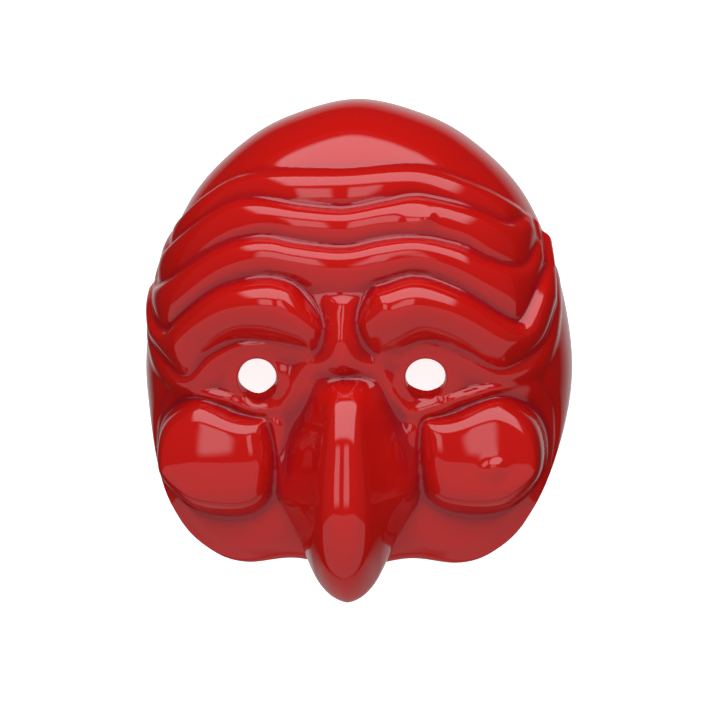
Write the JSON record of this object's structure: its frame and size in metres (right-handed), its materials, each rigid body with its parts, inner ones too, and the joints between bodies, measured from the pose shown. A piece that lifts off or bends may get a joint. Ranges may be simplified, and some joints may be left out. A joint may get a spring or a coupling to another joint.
{
  "type": "commedia half mask",
  "caption": "Glazed half mask with round eye holes, a large hooked nose, ball cheeks and a deeply furrowed brow, open at the back.",
  "frame": {"origin": "centre of the overall box at the plane that the mask's rim rests on", "axes": "+Z out of the face, away from the wearer; +Y towards the forehead; +X to the right for one who looks at the face"},
  "size_m": [0.1722, 0.2002, 0.0783],
  "materials": {
    "red_glaze": "smooth deep red glaze on fired clay, mirror bright, with softened carving"
  },
  "bodies": {
    "root": {"mask_shell": "red_glaze"}
  },
  "joints": []
}
